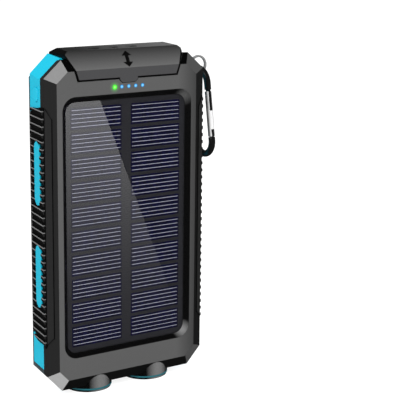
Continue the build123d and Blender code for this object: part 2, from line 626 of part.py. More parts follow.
# Screws ------------------------------------------------------------------------------------------------------
with BuildPart() as rear_screws:
    for x, z in SCREWS:
        post(x, z, SCREW_RADIUS, -3.5, BACK - 2.2)
        post(x, z, HEAD_RADIUS, BACK - 2.2, BACK - 0.9)
        with Locations((x, BACK - 1.2, z)):
            Box(2.6, 0.6, 0.5, mode=Mode.SUBTRACT)
            Box(0.5, 0.6, 2.6, mode=Mode.SUBTRACT)
finish(rear_screws, "rear_screws")

# Port cover --------------------------------------------------------------------------------------------------
with BuildPart() as port_cover:
    with BuildSketch(sideways(-28)):
        Polygon(*COVER_SECTION, align=None)
    extrude(amount=56)
    with BuildSketch(upright(12)):
        Polygon(*cover_outline(), align=None)
    extrude(amount=24, mode=Mode.INTERSECT)
    with BuildSketch(sideways(-DECK_HALF)):
        Polygon(*COVER_HOLLOW, align=None)
    extrude(amount=2 * DECK_HALF, mode=Mode.SUBTRACT)
    for x in (-USB_X, USB_X):
        slab((x - 5.4, x + 5.4), (USB_Y - 2.3, USB_Y + 0.1), (135.3, 140.2))
    slab((-2.8, 2.8), (PCB_FRONT - 2.2, PCB_FRONT - 1.4), (135.4, 140.2))
    with BuildSketch(upright(-9.2)):
        Polygon(*TAB, align=None)
    extrude(amount=-1.0)
    for side in (-1, 1):
        slab((side * LUG_X - LUG_WIDE / 2 - 0.3, side * LUG_X + LUG_WIDE / 2 + 0.3), (4.5, 12), (130, 145),
             mode=Mode.SUBTRACT)
    with BuildSketch(sideways(-BEAD_HALF)):
        with Locations((HINGE_Y, HINGE_Z)):
            Circle(BEAD_RADIUS)
    extrude(amount=2 * BEAD_HALF)
finish(port_cover, "port_cover")

# Ring loop, split ring and carabiner ------------------------------------------------------------------------
with BuildPart() as ring_loop:
    with BuildLine() as loop_path:
        FilletPolyline(
            (LOOP_INNER, LOOP_LEGS[0], LOOP_Z), (LOOP_X, LOOP_LEGS[0], LOOP_Z),
            (LOOP_X, LOOP_LEGS[1], LOOP_Z), (LOOP_INNER, LOOP_LEGS[1], LOOP_Z), radius=1.2,
        )
    with BuildSketch(sideways(LOOP_INNER)):
        with Locations((LOOP_LEGS[0], LOOP_Z)):
            Circle(LOOP_WIRE)
    sweep(path=loop_path.wires()[0])
finish(ring_loop, "ring_loop")

with BuildPart() as split_ring:
    with BuildSketch(upright(CLIP_TOP[0])):
        with Locations((RING_X, RING_Z)):
            Circle(RING_RADIUS + RING_WIRE)
            Circle(RING_RADIUS - RING_WIRE, mode=Mode.SUBTRACT)
    extrude(amount=0.55, both=True)
finish(split_ring, "split_ring")

with BuildSketch(sideways(CLIP_X)) as clip_outline:
    with Locations(CLIP_TOP):
        Circle(CLIP_TOP_RADIUS)
    with Locations(CLIP_LOW):
        Circle(CLIP_LOW_RADIUS)
    make_hull()
clip_edges = clip_outline.sketch.faces()[0].outer_wire().edges()
gate_edge = clip_edges.filter_by(GeomType.LINE).sort_by(Axis.Y)[0]
gate_ends = sorted((gate_edge @ 0, gate_edge @ 1), key=lambda point: -point.Z)
along = (gate_ends[1] - gate_ends[0]).normalized()


def on_gate(z):
    """The point of the gate's middle line at height z."""
    return gate_ends[0] + along * ((z - gate_ends[0].Z) / along.Z)


def gate_plane(z):
    """A plane square to the gate at height z: its local x is X and its local y points out of the loop."""
    return Plane(origin=on_gate(z), x_dir=(1, 0, 0), z_dir=along)


PIN_AT = on_gate(GATE_TOP - 1.6)

with BuildPart() as carabiner_body:
    with BuildLine() as bar_path:
        for edge in clip_edges:
            if edge is not gate_edge:
                add(edge)
        Line(gate_ends[0], on_gate(GATE_TOP + SHOULDER_GAP))
        Line(gate_ends[1], on_gate(GATE_BOTTOM - 0.3))
    bar_wire = bar_path.wires()[0]
    with BuildSketch(Plane(origin=bar_wire @ 0, z_dir=bar_wire % 0)):
        Circle(BAR_RADIUS)
    sweep(path=bar_wire)
    # Tongues that reach into the two ends of the gate
    for high, low in ((GATE_TOP + 1, TONGUE_LOW), (NOSE_HIGH, GATE_BOTTOM - 1)):
        with BuildSketch(gate_plane(high)):
            with Locations((0, 0.1)):
                Rectangle(TONGUE_THICK, 2.0)
        extrude(amount=(on_gate(low) - on_gate(high)).length)
    with BuildSketch(sideways(CLIP_X)):
        with Locations((PIN_AT.Y, PIN_AT.Z)):
            Circle(PIN_RADIUS + FIT)
    extrude(amount=3, both=True, mode=Mode.SUBTRACT)
finish(carabiner_body, "carabiner_body")

with BuildPart() as carabiner_gate:
    with BuildSketch(gate_plane(GATE_TOP)):
        Circle(BAR_RADIUS)
    extrude(amount=(on_gate(GATE_BOTTOM) - on_gate(GATE_TOP)).length)
    # Slots at both ends, open outwards, and right through beside the pin
    for high, low, depth in ((GATE_TOP + 1, TONGUE_LOW - 0.4, 0.95), (NOSE_HIGH + 0.4, GATE_BOTTOM - 1, 0.95),
                             (GATE_TOP + 1, GATE_TOP - 3.4, 4.0)):
        with BuildSketch(gate_plane(high)):
            with Locations((0, 2 - depth / 2)):
                Rectangle(SLOT_WIDE, 4 + depth)
        extrude(amount=(on_gate(low) - on_gate(high)).length, mode=Mode.SUBTRACT)
    with BuildSketch(sideways(CLIP_X)):
        with Locations((PIN_AT.Y, PIN_AT.Z)):
            Circle(PIN_RADIUS)
    extrude(amount=3, both=True, mode=Mode.SUBTRACT)
finish(carabiner_gate, "carabiner_gate")

with BuildPart() as gate_pin:
    with BuildSketch(sideways(CLIP_X)):
        with Locations((PIN_AT.Y, PIN_AT.Z)):
            Circle(PIN_RADIUS)
    extrude(amount=BAR_RADIUS - 0.1, both=True)
finish(gate_pin, "gate_pin")

os.makedirs("parts", exist_ok=True)
for piece in finished:
    export_step(piece, os.path.join("parts", piece.label + ".step"))
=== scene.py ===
"""Looks of the solar phone charger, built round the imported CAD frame. Metres, +Z up, panel facing -Y."""

import json
import math

import bmesh
import bpy
from mathutils import Matrix, Vector

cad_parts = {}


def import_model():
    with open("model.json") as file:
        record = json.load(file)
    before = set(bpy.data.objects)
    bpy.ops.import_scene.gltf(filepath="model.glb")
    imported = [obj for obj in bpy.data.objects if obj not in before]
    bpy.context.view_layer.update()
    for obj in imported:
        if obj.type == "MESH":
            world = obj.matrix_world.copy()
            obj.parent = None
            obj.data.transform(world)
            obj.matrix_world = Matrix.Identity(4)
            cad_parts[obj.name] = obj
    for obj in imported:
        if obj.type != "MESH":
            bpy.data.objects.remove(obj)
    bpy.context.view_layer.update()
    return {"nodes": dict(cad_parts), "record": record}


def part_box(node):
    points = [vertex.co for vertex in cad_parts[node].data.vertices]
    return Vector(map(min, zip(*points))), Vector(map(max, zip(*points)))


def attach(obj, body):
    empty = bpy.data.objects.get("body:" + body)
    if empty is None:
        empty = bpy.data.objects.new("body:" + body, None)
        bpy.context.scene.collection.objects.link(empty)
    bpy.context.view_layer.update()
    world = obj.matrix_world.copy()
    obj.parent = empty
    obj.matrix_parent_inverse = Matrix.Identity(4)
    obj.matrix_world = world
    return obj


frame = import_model()
NODES = frame["nodes"]
MM, MICRON = 0.001, 0.000001
X, Y, Z = range(3)


def middle(node):
    """The middle of a CAD node's box."""
    low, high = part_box(node)
    return (low + high) / 2


def grey(level, tint=(1.0, 1.0, 1.0)):
    """A colour from an sRGB level of 0 to 255, with a light tint."""
    linear = (level / 255) ** 2.2
    return (linear * tint[0], linear * tint[1], linear * tint[2], 1.0)


def colour(red, green, blue):
    """A colour from sRGB levels."""
    return tuple((level / 255) ** 2.2 for level in (red, green, blue)) + (1.0,)


def shaded(tone, factor):
    """A colour made darker or lighter by a factor."""
    return tuple(channel * factor for channel in tone[:3]) + (1.0,)


BLACK, WHITE = grey(0), grey(255)
GREEN, BLUE = colour(60, 215, 40), colour(40, 130, 200)

# Camera: where it stands, and how it is turned, in degrees
CAMERA_AT = (-0.2893, -0.4712, 0.1999)
CAMERA_HEADING, CAMERA_TILT, CAMERA_ROLL = 35.44, -12.76, 0.75
LENS_MM, SENSOR_MM = 118.4, 36.0
CLIP_NEAR, CLIP_FAR = 0.01, 20.0

# Glare: the card's outline as the window shows it, how many times as far off as the window the card
# stands, its strength at the foot, and what the top adds to that
GLARE_LEFT, GLARE_FOOT, GLARE_TOP = -34 * MM, 15 * MM, 126 * MM
GLARE_OUTLINE = [(GLARE_LEFT, GLARE_TOP), (-14.4 * MM, GLARE_TOP), (18.4 * MM, 45.2 * MM),
                 (30.6 * MM, GLARE_FOOT), (GLARE_LEFT, GLARE_FOOT)]
GLARE_REACH = 2.5
GLARE_POWER, GLARE_RISE = 0.06, 1.15

# Sky: its light on the object, in the object's reflections, and as the camera sees it
SKY_LIGHT, SKY_GLOSS, SKY_SEEN = 0.7, 0.06, 1.0
FLOOR_HALF, FLOOR_GLOW = 6.0, 0.86
LIGHT_AIM = (0.0, 0.0, 0.07)

# Noises, as features per metre, detail and roughness, and the range that most of a noise lies in
GRAIN, STREAK, MOTTLE = (5200.0, 3.0, 0.6), (900.0, 4.0, 0.6), (900.0, 3.0, 0.6)
NOISE_RANGE = (0.3, 0.7)

# Case: tone of its front face, the span where a painted shade darkens the face towards the right, a depth
# just behind the face, and the least lean of a bevel
FACE_TONE = 81
FACE_SHADE_SPAN = (24 * MM, 33 * MM)
FACE_BACK = -8.8 * MM
LEAN = 0.15

# Window frame, and how far in from its sides the middle of each corner's turn is: the centre of each
# painted corner highlight
WINDOW_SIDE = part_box("panel_bezel")[1][X]
WINDOW_MIDDLE = middle("panel_bezel")[Z]
WINDOW_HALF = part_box("panel_bezel")[1][Z] - WINDOW_MIDDLE
CORNER_INSET = 3.1 * MM

# Light pipes: the status light and four level lights, evenly spaced
STATUS_X = middle("status_light_pipe")[X]
LED_Z = middle("status_light_pipe")[Z]
LEVEL_XS = [-STATUS_X / 2 * place for place in (-1, 0, 1, 2)]

# Port cover: its crease and the top of its slope, where its painted shade runs, then a height and half
# width on each of its two side edges with that edge's lean, then its glossy rim and its foot, both painted
# deep black as shade, its tab, and its roof
CREASE_Z, COVER_TOP = 133.7 * MM, 141.2 * MM
LOWER_SIDE, LOWER_SIDE_LEAN = (129.5 * MM, 23.3 * MM), 0.357
UPPER_SIDE, UPPER_SIDE_LEAN = (CREASE_Z, 24.8 * MM), 0.51
RIM_WIDE, FOOT_TOP, TAB_HALF = 0.7 * MM, 130 * MM, 4.2 * MM
ROOF_FRONT_Y, ROOF_FRONT_Z, ROOF_LEAN = -5.1 * MM, 141 * MM, 0.5 / 9.7

# Grips: ribs, the band of each that gets a painted highlight, and the depths that part the ribs from the
# flange, then the flange's seam, and a half width and height on each of its two ends with that end's lean,
# which bound the painted shadow along the seam
RIB_PITCH = 3.03 * MM
RIB_START = middle("grip_left")[Z] - 16 * RIB_PITCH
RIB_HIGHLIGHT_BAND = (0.60, 0.72)
RIB_FRONT, FLANGE_BACK = -6.6 * MM, -6.8 * MM
FLANGE_SEAM = 34.95 * MM
UPPER_END, UPPER_END_LEAN = (34.9 * MM, 115.2 * MM), 1.75
LOWER_END, LOWER_END_LEAN = (34.9 * MM, 26.6 * MM), -1.09

# Cells, and the lines printed on each, which stop short of its ends
CELL_ROWS, CELL_TALL, CELL_INNER = 10, 8.6 * MM, 2.3 * MM
LINES, LINE_PITCH, LINE_MARGIN = 5, 1.66 * MM, 0.5 * MM
LINE_TALL, LINE_THICK = 0.15 * MM, 0.03 * MM

# Arrow on the port cover's slope: its place, the slope's run and rise, and its sizes
ARROW_X, ARROW_UP = 0.35 * MM, 5.8 * MM
SLOPE_RUN, SLOPE_RISE = 4.1, 7.3
ARROW_START, ARROW_END, ARROW_HEAD = 0.3 * MM, 7.3 * MM, 2.1 * MM
HEAD_HALF, SHAFT_HALF = 2.3 * MM, 0.8 * MM
ARROW_SUNK, ARROW_PROUD = -0.05 * MM, 0.04 * MM

# Marks on the port cover's roof: place and width of each, and the sizes of the two bars of one mark
MARKS = [(-11.5 * MM, 5 * MM), (-2.5 * MM, 4 * MM), (6 * MM, 5 * MM)]
MARK_Y, MARK_STEP, SHORT_BAR = -1 * MM, 1.5 * MM, 0.6
BAR_DEEP, BAR_TALL = 0.8 * MM, 0.08 * MM


# Node helpers ---------------------------------------------------------------------------------------------
class Shader:
    """A node material with short calls for the nodes that this scene uses."""

    def __init__(self, name, **sockets):
        self.material = bpy.data.materials.new(name)
        self.material.use_nodes = True
        self.tree = self.material.node_tree
        self.tree.nodes.clear()
        self.out = self.node("OutputMaterial")
        self.base = self.node("BsdfPrincipled")
        self.link(self.base.outputs[0], self.out.inputs[0])
        self.place = self.node("TexCoord").outputs["Object"]
        for key, value in sockets.items():
            self.set(key.replace("_", " "), value)

    def node(self, kind):
        """A new shader node."""
        return self.tree.nodes.new("ShaderNode" + kind)

    def link(self, source, target):
        """Feeds a socket or a plain value into an input."""
        if isinstance(source, bpy.types.NodeSocket):
            self.tree.links.new(source, target)
        else:
            target.default_value = source

    def set(self, key, value):
        """Feeds an input of the base shader."""
        self.link(value, self.base.inputs[key])

    def tone(self):
        """What feeds the base colour now."""
        return self.base.inputs["Base Color"].links[0].from_socket

    def math(self, kind, *values):
        """One sum on sockets or plain numbers."""
        node = self.node("Math")
        node.operation = kind
        for socket, value in zip(node.inputs, values):
            self.link(value, socket)
        return node.outputs[0]

    def fold(self, kind, first, *rest):
        """Joins any number of values by one sum."""
        for value in rest:
            first = self.math(kind, first, value)
        return first

    def size(self, value):
        """A value without its sign."""
        return self.math("ABSOLUTE", value)

    def below(self, value, limit):
        """A mask: 1 where the value is under the limit, else 0."""
        return self.math("LESS_THAN", value, limit)

    def above(self, value, limit):
        """A mask: 1 where the value is over the limit, else 0."""
        return self.math("GREATER_THAN", value, limit)

    def both(self, *masks):
        """A mask: where every one of the masks is."""
        return self.fold("MULTIPLY", *masks)

    def either(self, *masks):
        """A mask: where any of the masks is."""
        return self.fold("MAXIMUM", *masks)

    def line(self, value, point, lean):
        """Where the straight line through a point, with a lean, is at this value."""
        return self.math("MULTIPLY_ADD", value, lean, point[1] - lean * point[0])

    def distance(self, first, second):
        """The length of a flat vector."""
        squares = [self.math("MULTIPLY", part, part) for part in (first, second)]
        return self.math("SQRT", self.math("ADD", *squares))

    def split(self, vector=None):
        """The three parts of a vector, by default the place on the object in metres."""
        node = self.node("SeparateXYZ")
        self.link(self.place if vector is None else vector, node.inputs[0])
        return node.outputs

    def facing(self):
        """The three parts of the surface direction, softened edges included, in the object's own axes."""
        return self.split(self.node("TexCoord").outputs["Normal"])

    def flat_facing(self):
        """The three parts of the direction of each flat face."""
        return self.split(self.node("NewGeometry").outputs["True Normal"])

    def noise(self, scale, detail=2.0, rough=0.5, stretch=None):
        """Fractal noise, with a scale in features per metre."""
        place = self.place
        if stretch:
            mapping = self.node("Mapping")
            self.link(stretch, mapping.inputs["Scale"])
            self.link(place, mapping.inputs[0])
            place = mapping.outputs[0]
        node = self.node("TexNoise")
        for key, value in (("Vector", place), ("Scale", scale), ("Detail", detail), ("Roughness", rough)):
            self.link(value, node.inputs[key])
        return node.outputs["Fac"]

    def ramp(self, value, low, high, first=0.0, last=1.0):
        """Maps value from low..high to first..last, held at the ends."""
        node = self.node("MapRange")
        for key, source in (("Value", value), ("From Min", low), ("From Max", high),
                            ("To Min", first), ("To Max", last)):
            self.link(source, node.inputs[key])
        return node.outputs[0]

    def spread(self, noise, first=0.0, last=1.0):
        """Spreads a noise over first..last."""
        return self.ramp(noise, *NOISE_RANGE, first, last)

    def mix(self, factor, first, second, blend="MIX"):
        """Mixes two colours."""
        node = self.node("Mix")
        node.data_type = "RGBA"
        node.blend_type = blend
        for place, source in ((0, factor), (6, first), (7, second)):
            self.link(source, node.inputs[place])
        return node.outputs[2]

    def bump(self, height, distance, target=None):
        """Raises the surface by height times distance, in metres."""
        node = self.node("Bump")
        self.link(distance, node.inputs["Distance"])
        self.link(height, node.inputs["Height"])
        self.link(node.outputs[0], (target or self.base).inputs["Normal"])


def moulded(name, tone, roughness, grain=12 * MICRON, drift=0.12, **sockets):
    """Moulded plastic or rubber: fine sand-blasted grain, slow colour drift, and roughness that varies."""
    shader = Shader(name, **sockets)
    fine = shader.noise(*GRAIN)
    slow = shader.noise(60.0)
    blend = shader.math("ADD", shader.math("MULTIPLY", fine, 0.5), shader.math("MULTIPLY", slow, 0.5))
    darker, lighter = shaded(tone, 1 - drift), shaded(tone, 1 + drift)
    shader.set("Base Color", shader.mix(shader.spread(blend), darker, lighter))
    shader.set("Roughness", shader.spread(fine, roughness - 0.06, roughness + 0.06))
    shader.bump(fine, grain)
    return shader


# Materials ------------------------------------------------------------------------------------------------
def case_material():
    """Case plastic: dark, with a lighter flat face and satin facets at the four corners, and painted light
    and shade: the face darkens towards the right, the left bevels and facets are lighter than the right
    ones, and the top and bottom bevels are darker.
    """
    shader = moulded("case plastic", grey(38), 0.46, Specular_IOR_Level=0.2)
    turn = shader.flat_facing()
    forward = shader.below(turn[Y], -0.5)
    left = shader.below(turn[X], 0.0)
    upward = shader.above(turn[Z], 0.0)
    across = shader.above(shader.size(turn[X]), LEAN)
    straight = shader.math("SUBTRACT", 1.0, across)
    flat = shader.below(turn[Y], -0.985)
    side_bevel = shader.both(across, forward)
    low_bevel = shader.both(shader.below(turn[Z], -LEAN), straight)
    top_bevel = shader.both(shader.above(turn[Z], LEAN), straight)
    facet = shader.both(side_bevel, shader.above(shader.size(turn[Z]), LEAN))

    speck = shader.spread(shader.noise(*GRAIN))
    face = shader.mix(speck, grey(FACE_TONE - 3), grey(FACE_TONE + 4))
    # Painted shade: the face darkens towards the right.
    face = shader.mix(shader.ramp(shader.split()[X], *FACE_SHADE_SPAN), face, grey(FACE_TONE - 22))
    # Painted light on the corner facets: silver on the left, the lower facets lighter than the upper, and a
    # darker grey on the right.
    lower_facets_lit_silver = shader.mix(speck, grey(142), grey(150))
    upper_facets_lit_silver = shader.mix(speck, grey(117), grey(125))
    silver = shader.mix(upward, lower_facets_lit_silver, upper_facets_lit_silver)

    # Painted light: the left side bevels are lighter than the right ones.
    shade = shader.mix(side_bevel, shader.tone(), shader.mix(left, grey(26), grey(36)))
    shade = shader.mix(flat, shade, face)
    # Painted shade: the bottom bevel and, darker still, the top bevel.
    shade = shader.mix(low_bevel, shade, grey(17))
    shade = shader.mix(top_bevel, shade, grey(9))
    shader.set("Base Color", shader.mix(facet, shade, shader.mix(left, grey(70), silver)))
    light_spill(shader)
    return shader.material


def light_spill(shader):
    """Adds the light that the lit pipes spill on the face round them."""
    place = shader.split()
    front = shader.below(place[Y], FACE_BACK)
    up = shader.math("SUBTRACT", place[Z], LED_Z)
    pipes = [(STATUS_X, GREEN, 2.7 * MM, 0.9)] + [(x, BLUE, 1.3 * MM, 0.5) for x in LEVEL_XS]
    glow = BLACK
    for x, tint, reach, power in pipes:
        away = shader.distance(shader.math("SUBTRACT", place[X], x), up)
        spill = shader.math("POWER", shader.ramp(away, 0.0, reach, 1.0, 0.0), 2.0)
        layer = shader.mix(shader.fold("MULTIPLY", spill, front, power), BLACK, tint)
        glow = shader.mix(1.0, glow, layer, "ADD")
    shader.set("Emission Color", glow)
    shader.set("Emission Strength", 1.0)


def cover_material():
    """Soft black cover with painted light and shade: the slope darkens towards its top, the roof lightens
    towards the right, the lower band has a grey of its own, and its edges, cheeks, underside and foot are
    painted deep black as shade.
    """
    shader = moulded("cover rubber", grey(80), 0.4, grain=8 * MICRON, Specular_IOR_Level=0.3)
    turn = shader.facing()
    place = shader.split()
    wide = shader.size(place[X])
    band = shader.below(turn[Y], -0.97)
    roof = shader.above(turn[Z], 0.8)
    cheek = shader.above(shader.size(turn[X]), 0.2)
    under = shader.below(turn[Z], -0.2)
    side = shader.either(shader.line(place[Z], LOWER_SIDE, LOWER_SIDE_LEAN),
                         shader.line(place[Z], UPPER_SIDE, UPPER_SIDE_LEAN))
    rim = shader.both(shader.above(wide, shader.math("SUBTRACT", side, RIM_WIDE)), shader.below(roof, 0.5))
    foot = shader.both(shader.below(place[Z], FOOT_TOP), shader.above(wide, TAB_HALF))

    # Painted shade and light: the slope darkens towards its top, and the roof lightens towards the right.
    slope_painted_shade = shader.mix(shader.ramp(place[Z], CREASE_Z, COVER_TOP), grey(88), grey(42))
    roof_painted_light = shader.mix(shader.ramp(place[X], -20 * MM, 20 * MM), grey(40), grey(96))
    shade = shader.mix(band, slope_painted_shade, grey(66, (1.0, 1.0, 1.04)))
    shade = shader.mix(roof, shade, roof_painted_light)
    # Painted shade: the cheeks, underside, rim and foot are deep black.
    shade = shader.mix(shader.either(cheek, under, rim, foot), shade, grey(8))
    speckled = shader.node("VectorMath")
    speckled.operation = "SCALE"
    shader.link(shade, speckled.inputs[0])
    shader.link(shader.spread(shader.noise(*GRAIN), 0.92, 1.08), speckled.inputs["Scale"])
    shader.set("Base Color", speckled.outputs[0])
    return shader.material


def grip_material():
    """Black rubber ribs with a painted highlight along one edge of each, brighter on the left-hand grip, a
    flange on the front bevel painted greyer as light, and painted shadow along the flange's seam.
    """
    shader = moulded("grip rubber", grey(12), 0.5, grain=10 * MICRON, Specular_IOR_Level=0.2)
    turn = shader.flat_facing()
    place = shader.split()
    wide = shader.size(place[X])
    flange = shader.below(turn[Y], -0.6)
    front = shader.below(place[Y], FLANGE_BACK)
    inward = shader.below(shader.math("MULTIPLY", turn[X], shader.math("SIGN", place[X])), -0.05)
    step = shader.above(shader.size(turn[Z]), 0.25)
    inner = shader.below(wide, FLANGE_SEAM)
    upper = shader.above(place[Z], shader.line(wide, UPPER_END, UPPER_END_LEAN))
    lower = shader.below(place[Z], shader.line(wide, LOWER_END, LOWER_END_LEAN))
    seam_shadow = shader.both(shader.either(inner, upper, lower, inward, step), front)

    # Painted highlight: a band along each rib's edge, brighter on the left-hand grip.
    ribs = shader.math("DIVIDE", shader.math("SUBTRACT", place[Z], RIB_START), RIB_PITCH)
    phase = shader.math("FRACT", ribs)
    edge = shader.both(shader.above(phase, RIB_HIGHLIGHT_BAND[0]), shader.below(phase, RIB_HIGHLIGHT_BAND[1]),
                       shader.above(place[Y], RIB_FRONT))
    rib_highlight_tone = shader.mix(shader.below(place[X], 0.0), grey(30), grey(112))
    # Painted light: the front-facing flange is greyer than the ribs.
    shade = shader.mix(flange, shader.tone(), grey(38))
    shade = shader.mix(edge, shade, rib_highlight_tone)
    # Painted shadow along the flange's seam and on the faces turned inwards or up and down.
    shader.set("Base Color", shader.mix(seam_shadow, shade, grey(3)))
    return shader.material


def lamp_material():
    """Lamp barrels: gloss black with a painted highlight down the front of each barrel."""
    shader = moulded("lamp plastic", grey(9), 0.26, grain=3 * MICRON)
    turn = shader.facing()
    # Painted highlight down the front of each barrel, from the direction each face turns.
    facing = shader.math("SUBTRACT", shader.math("MULTIPLY", turn[X], 0.1), turn[Y])
    barrel_highlight = shader.math("POWER", shader.ramp(facing, 0.84, 1.0), 1.2)
    shader.set("Base Color", shader.mix(barrel_highlight, shader.tone(), grey(104)))
    return shader.material


def bezel_material():
    """High-gloss black window frame, with painted highlights where its right-hand corners turn, brighter at
    the lower corner.
    """
    shader = moulded("bezel gloss", grey(9), 0.3, grain=2 * MICRON)
    place = shader.split()
    height = shader.size(shader.math("SUBTRACT", place[Z], WINDOW_MIDDLE))
    away = shader.distance(shader.math("SUBTRACT", height, WINDOW_HALF - CORNER_INSET),
                           shader.math("SUBTRACT", place[X], WINDOW_SIDE - CORNER_INSET))
    # Painted highlight round the right-hand corners, brighter at the lower one.
    corner_highlight = shader.ramp(away, 0.8 * MM, 4.5 * MM, 1.0, 0.0)
    corner_highlight_tone = shader.mix(shader.above(place[Z], WINDOW_MIDDLE), grey(112), grey(72))
    shader.set("Base Color", shader.mix(corner_highlight, shader.tone(), corner_highlight_tone))
    return shader.material


def pane_material():
    """Clear laminate: its outer face mirrors, most of all at a slant, and its inner face doesn't."""
    shader = Shader("clear pane")
    gloss = shader.node("BsdfGlossy")
    shader.link(0.0, gloss.inputs["Roughness"])
    shader.bump(shader.noise(25.0, 1.0), 0.2 * MICRON, gloss)
    fresnel = shader.node("Fresnel")
    shader.link(2.2, fresnel.inputs["IOR"])
    outer = shader.math("SUBTRACT", 1.0, shader.node("NewGeometry").outputs["Backfacing"])
    mix = shader.node("MixShader")
    shader.link(shader.math("MULTIPLY", fresnel.outputs[0], outer), mix.inputs[0])
    shader.link(shader.node("BsdfTransparent").outputs[0], mix.inputs[1])
    shader.link(gloss.outputs[0], mix.inputs[2])
    shader.link(mix.outputs[0], shader.out.inputs[0])
    return shader.material


def silicon_material():
    """Dark blue cells with a faint crystal mottling."""
    shader = Shader("silicon", Specular_IOR_Level=0.03)
    mottle = shader.noise(*MOTTLE, stretch=(1.0, 1.0, 0.25))
    shader.set("Base Color", shader.mix(shader.spread(mottle), colour(0, 0, 28), colour(1, 1, 50)))
    shader.set("Roughness", shader.spread(mottle, 0.3, 0.42))
    return shader.material


def metal_material(name, tone, roughness, metallic=1.0):
    """Plated or brushed metal."""
    shader = Shader(name, Metallic=metallic)
    streak = shader.noise(*STREAK, stretch=(1.0, 1.0, 40.0))
    shader.set("Base Color", shader.mix(shader.spread(streak), shaded(tone, 0.8), tone))
    shader.set("Roughness", shader.spread(streak, roughness - 0.05, roughness + 0.08))
    shader.bump(streak, 6 * MICRON)
    return shader.material


def gate_material():
    """Polished gate with painted light: a painted highlight along its front face and painted shade on its
    rounded flanks.
    """
    shader = Shader("gate metal", Metallic=0.3, Roughness=0.3)
    turn = shader.facing()
    streak = shader.noise(*STREAK, stretch=(1.0, 1.0, 0.05))
    # Painted highlight on faces turned to the front, painted shade on the flanks.
    facing = shader.math("SUBTRACT", shader.math("MULTIPLY", turn[X], -0.1), turn[Y])
    uneven = shader.math("MULTIPLY", shader.math("SUBTRACT", streak, 0.5), 0.3)
    bright = shader.ramp(shader.math("ADD", facing, uneven), 0.45, 0.95)
    shader.set("Base Color", shader.mix(bright, grey(96), grey(250)))
    shader.bump(streak, 4 * MICRON)
    return shader.material


def lit_material(name, core, glow, strength, centres, radius):
    """Lit light pipes: bright in the middle of each, coloured at its rim."""
    shader = Shader(name, Roughness=0.25, Base_Color=glow, Emission_Strength=strength)
    place = shader.split()
    up = shader.math("SUBTRACT", place[Z], LED_Z)
    away = [shader.distance(shader.math("SUBTRACT", place[X], x), up) for x in centres]
    rim = shader.ramp(shader.fold("MINIMUM", *away), 0.1 * radius, 0.8 * radius)
    shader.set("Emission Color", shader.mix(rim, core, glow))
    return shader.material


def board_material():
    """Green solder mask with faint tracks."""
    shader = Shader("circuit board", Roughness=0.4)
    tracks = shader.noise(700.0, 1.0, 0.4, stretch=(1.0, 1.0, 6.0))
    copper = shader.ramp(tracks, 0.5, 0.54)
    shader.set("Base Color", shader.mix(copper, colour(14, 70, 40), colour(26, 96, 58)))
    shader.bump(tracks, 10 * MICRON)
    return shader.material


MATERIALS = {
    "case_plastic": case_material(),
    "bright_plastic": moulded("bright plastic", colour(18, 172, 200), 0.38, drift=0.03).material,
    "grip_rubber": grip_material(),
    "cover_rubber": cover_material(),
    "bezel_gloss": bezel_material(),
    "clear_pane": pane_material(),
    "silicon": silicon_material(),
    "panel_backing": moulded("panel backing", colour(42, 42, 46), 0.5, drift=0.04, grain=2 * MICRON,
                             Specular_IOR_Level=0.03).material,
    "circuit_board": board_material(),
    "pouch_foil": metal_material("pouch foil", grey(170), 0.4),
    "foam": moulded("foam", grey(40), 0.9, grain=60 * MICRON).material,
    "chip_black": moulded("chip black", grey(28), 0.55).material,
    "plated_steel": metal_material("plated steel", grey(190), 0.28, metallic=0.6),
    "gate_metal": gate_material(),
    "black_anodised": moulded("black anodised", grey(22), 0.3, grain=4 * MICRON).material,
    "led_body": moulded("led body", colour(240, 226, 150), 0.5).material,
    "green_lens": lit_material("green lens", colour(180, 255, 150), colour(50, 190, 30), 0.95,
                               [STATUS_X], 0.95 * MM),
    "blue_lens": lit_material("blue lens", colour(190, 235, 250), colour(34, 120, 180), 0.72,
                              LEVEL_XS, 0.7 * MM),
    "clear_lens": moulded("clear lens", grey(225), 0.12, Transmission_Weight=0.9).material,
    "reflector": metal_material("reflector", grey(225), 0.12),
    "wire": moulded("wire", colour(150, 20, 20), 0.5).material,
    "ribbon": moulded("ribbon", colour(222, 214, 186), 0.5).material,
}

# Nodes that look different from the rest of their slot: the lamp collars get a darker teal as painted
# shade, and the lamp base and bezels the gloss black with its painted highlight
SHADED_COLLAR = moulded("lamp collar", colour(24, 96, 106), 0.4).material
LAMP = lamp_material()
SPECIAL = {"lamp_collar_left": SHADED_COLLAR, "lamp_collar_right": SHADED_COLLAR, "lamp_base": LAMP,
           "lamp_bezel_left": LAMP, "lamp_bezel_right": LAMP}
for subpart in frame["record"]["subparts"]:
    target = NODES[subpart["node"]]
    target.data.materials.clear()
    target.data.materials.append(SPECIAL.get(subpart["node"], MATERIALS[subpart["material_slot"]]))


# Pieces added to the CAD ----------------------------------------------------------------------------------
def new_object(name, work, material):
    """Puts a finished mesh in the scene as an object."""
    mesh = bpy.data.meshes.new(name)
    work.to_mesh(mesh)
    work.free()
    mesh.materials.append(material)
    thing = bpy.data.objects.new(name, mesh)
    bpy.context.scene.collection.objects.link(thing)
    return thing


def ride_new(name, work, material, body):
    """Adds a finished mesh as a piece that rides on a body."""
    piece = new_object(name, work, material)
    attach(piece, body)


def add_box(work, centre, sizes):
    """Adds a box to a mesh."""
    box = bmesh.ops.create_cube(work, size=1.0)
    place = Matrix.Translation(centre) @ Matrix.Diagonal((*sizes, 1.0))
    bmesh.ops.transform(work, matrix=place, verts=box["verts"])


